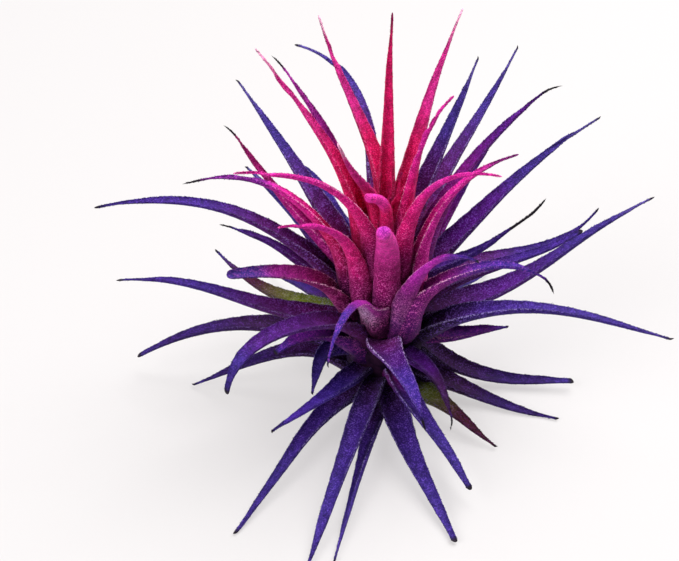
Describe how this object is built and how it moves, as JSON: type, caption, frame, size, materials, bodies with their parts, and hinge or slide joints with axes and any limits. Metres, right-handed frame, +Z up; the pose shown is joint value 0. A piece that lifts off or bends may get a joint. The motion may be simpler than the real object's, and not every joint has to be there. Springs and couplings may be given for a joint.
{
  "type": "sky plant",
  "caption": "Stemless air plant: a rosette of narrow, channelled, tapering leaves round a short stem, rising and pink at the heart, arching out blue-violet to the table.",
  "frame": {"origin": "centre of the stem's flat cut end, on the surface that the plant stands on", "axes": "+Z up along the stem, -Y towards the side shown in the front view, +X to that view's right"},
  "size_m": [0.1431, 0.1292, 0.1064],
  "materials": {
    "stem": "matt, fibrous, dark red-brown",
    "outer_leaf": "matt with fine pale scales, deep blue-violet",
    "middle_leaf": "matt with fine pale scales, magenta at the base, blue-violet at the tip",
    "inner_leaf": "matt with fine pale scales, crimson at the base, hot pink at the tip"
  },
  "bodies": {
    "root": {"heart": "inner_leaf", "leaf_in_01": "inner_leaf", "leaf_in_02": "inner_leaf", "leaf_in_03": "inner_leaf", "leaf_in_04": "inner_leaf", "leaf_in_05": "inner_leaf", "leaf_in_06": "inner_leaf", "leaf_in_07": "inner_leaf", "leaf_in_08": "inner_leaf", "leaf_in_09": "inner_leaf", "leaf_in_10": "inner_leaf", "leaf_in_11": "inner_leaf", "leaf_in_12": "inner_leaf", "leaf_in_13": "inner_leaf", "leaf_in_14": "inner_leaf", "leaf_in_15": "inner_leaf", "leaf_in_16": "inner_leaf", "leaf_in_17": "inner_leaf", "leaf_low_01": "outer_leaf", "leaf_low_02": "outer_leaf", "leaf_low_03": "outer_leaf", "leaf_low_04": "outer_leaf", "leaf_low_05": "outer_leaf", "leaf_low_06": "outer_leaf", "leaf_low_07": "outer_leaf", "leaf_low_08": "outer_leaf", "leaf_low_09": "outer_leaf", "leaf_low_10": "outer_leaf", "leaf_low_11": "outer_leaf", "leaf_low_12": "outer_leaf", "leaf_low_13": "outer_leaf", "leaf_low_14": "outer_leaf", "leaf_low_15": "outer_leaf", "leaf_low_16": "outer_leaf", "leaf_low_17": "outer_leaf", "leaf_low_18": "outer_leaf", "leaf_mid_01": "middle_leaf", "leaf_mid_02": "middle_leaf", "leaf_mid_03": "middle_leaf", "leaf_mid_04": "middle_leaf", "leaf_mid_05": "middle_leaf", "leaf_mid_06": "middle_leaf", "leaf_mid_07": "middle_leaf", "leaf_mid_08": "middle_leaf", "leaf_mid_09": "middle_leaf", "leaf_mid_10": "middle_leaf", "leaf_mid_11": "middle_leaf", "leaf_mid_12": "middle_leaf", "leaf_mid_13": "middle_leaf", "leaf_mid_14": "middle_leaf", "leaf_mid_15": "middle_leaf", "leaf_mid_16": "middle_leaf", "leaf_mid_17": "middle_leaf", "leaf_mid_18": "middle_leaf", "leaf_mid_19": "middle_leaf", "leaf_mid_20": "middle_leaf", "leaf_mid_21": "middle_leaf", "leaf_mid_22": "middle_leaf", "leaf_mid_23": "middle_leaf", "stem": "stem"}
  },
  "joints": []
}
